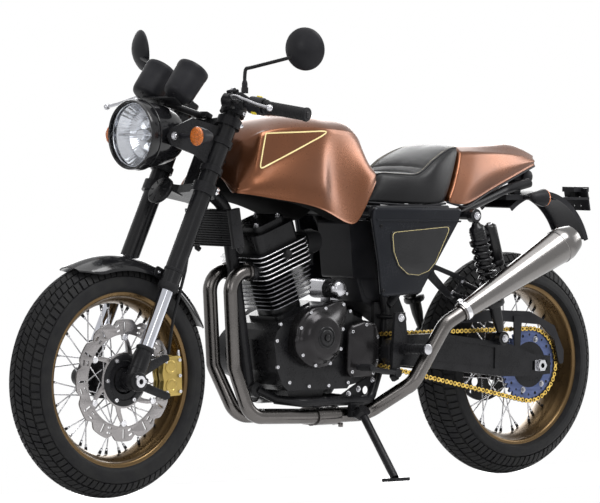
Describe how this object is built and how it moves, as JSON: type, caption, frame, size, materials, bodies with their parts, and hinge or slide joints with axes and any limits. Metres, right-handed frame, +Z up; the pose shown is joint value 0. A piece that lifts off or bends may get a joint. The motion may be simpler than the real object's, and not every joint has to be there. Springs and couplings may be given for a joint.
{
  "type": "motorcycle",
  "caption": "Cafe-racer motorcycle parked on its side stand: wire wheels that spin, steering fork, folding stand, finned engine, bronze tank and seat cowl.",
  "frame": {"origin": "on the ground under the middle of the machine's box", "axes": "+X forward, +Y to the rider's left (the side it leans to), +Z up"},
  "size_m": [2.0499, 0.7704, 1.2446],
  "materials": {
    "black_steel": "satin",
    "engine_black": "satin",
    "cover_grey": "satin",
    "bare_alloy": "satin",
    "exhaust": "brushed",
    "bronze_paint": "satin",
    "leather": "matte",
    "black_plastic": "matte",
    "gold_chain": "satin",
    "steel": "satin",
    "chrome_tube": "polished",
    "clear_lens": "polished",
    "red_lens": "gloss",
    "amber_lens": "gloss",
    "gold_caliper": "satin",
    "rim_bronze": "satin",
    "tyre": "matte",
    "rubber": "matte"
  },
  "bodies": {
    "chassis": {"frame_spine": "black_steel", "frame_cradle": "black_steel", "seat_rails": "black_steel", "engine_cases": "engine_black", "engine_barrel": "engine_black", "engine_head": "engine_black", "left_engine_cover": "cover_grey", "right_engine_cover": "engine_black", "sprocket_cover": "black_plastic", "starter_motor": "bare_alloy", "intake": "rubber", "oil_cooler": "engine_black", "exhaust_headers": "exhaust", "silencer": "exhaust", "fuel_tank": "bronze_paint", "fuel_cap": "bare_alloy", "seat": "leather", "tail_cowl": "bronze_paint", "rear_mudguard": "black_plastic", "tail_lamp": "red_lens", "rear_indicators": "amber_lens", "left_side_panel": "black_plastic", "right_side_panel": "black_plastic", "battery_box": "black_plastic", "left_shock": "black_steel", "right_shock": "black_steel", "swingarm": "engine_black", "chain_guard": "black_plastic", "chain": "gold_chain", "rear_axle": "steel", "rear_caliper": "engine_black", "left_foot_controls": "bare_alloy", "right_foot_controls": "bare_alloy"},
    "steering": {"yokes": "engine_black", "fork_tubes": "engine_black", "fork_sliders": "chrome_tube", "fork_feet": "engine_black", "front_axle": "steel", "front_mudguard": "black_plastic", "headlamp_shell": "black_steel", "headlamp_lens": "clear_lens", "headlamp_brackets": "black_steel", "gauges": "black_plastic", "handlebars": "black_steel", "grips": "rubber", "levers": "bare_alloy", "mirrors": "black_plastic", "front_indicators": "amber_lens", "front_caliper": "gold_caliper", "brake_hose": "rubber"},
    "front_wheel": {"front_tyre": "tyre", "front_rim": "rim_bronze", "front_spokes": "steel", "front_hub": "engine_black", "front_disc": "steel"},
    "rear_wheel": {"rear_tyre": "tyre", "rear_rim": "rim_bronze", "rear_spokes": "steel", "rear_hub": "engine_black"},
    "side_stand": {"side_stand": "black_steel"}
  },
  "joints": [
    {"name": "steering", "type": "hinge", "parent": "chassis", "child": "steering", "pos_m": [0.40912, -0.03178, 0.86498], "axis": [-0.4226, 0.0947, 0.9013], "range_deg": [-28, 28]},
    {"name": "front_wheel_spin", "type": "hinge", "parent": "steering", "child": "front_wheel", "pos_m": [0.715, -0.09045, 0.30673], "axis": [0, 0.9945, -0.1045], "continuous": true},
    {"name": "rear_wheel_spin", "type": "hinge", "parent": "chassis", "child": "rear_wheel", "pos_m": [-0.715, -0.09003, 0.31071], "axis": [0, 0.9945, -0.1045], "continuous": true},
    {"name": "side_stand_fold", "type": "hinge", "parent": "chassis", "child": "side_stand", "pos_m": [-0.062, 0.02158, 0.18637], "axis": [-0.06, 0.7436, 0.6659], "range_deg": [0, 88]}
  ]
}
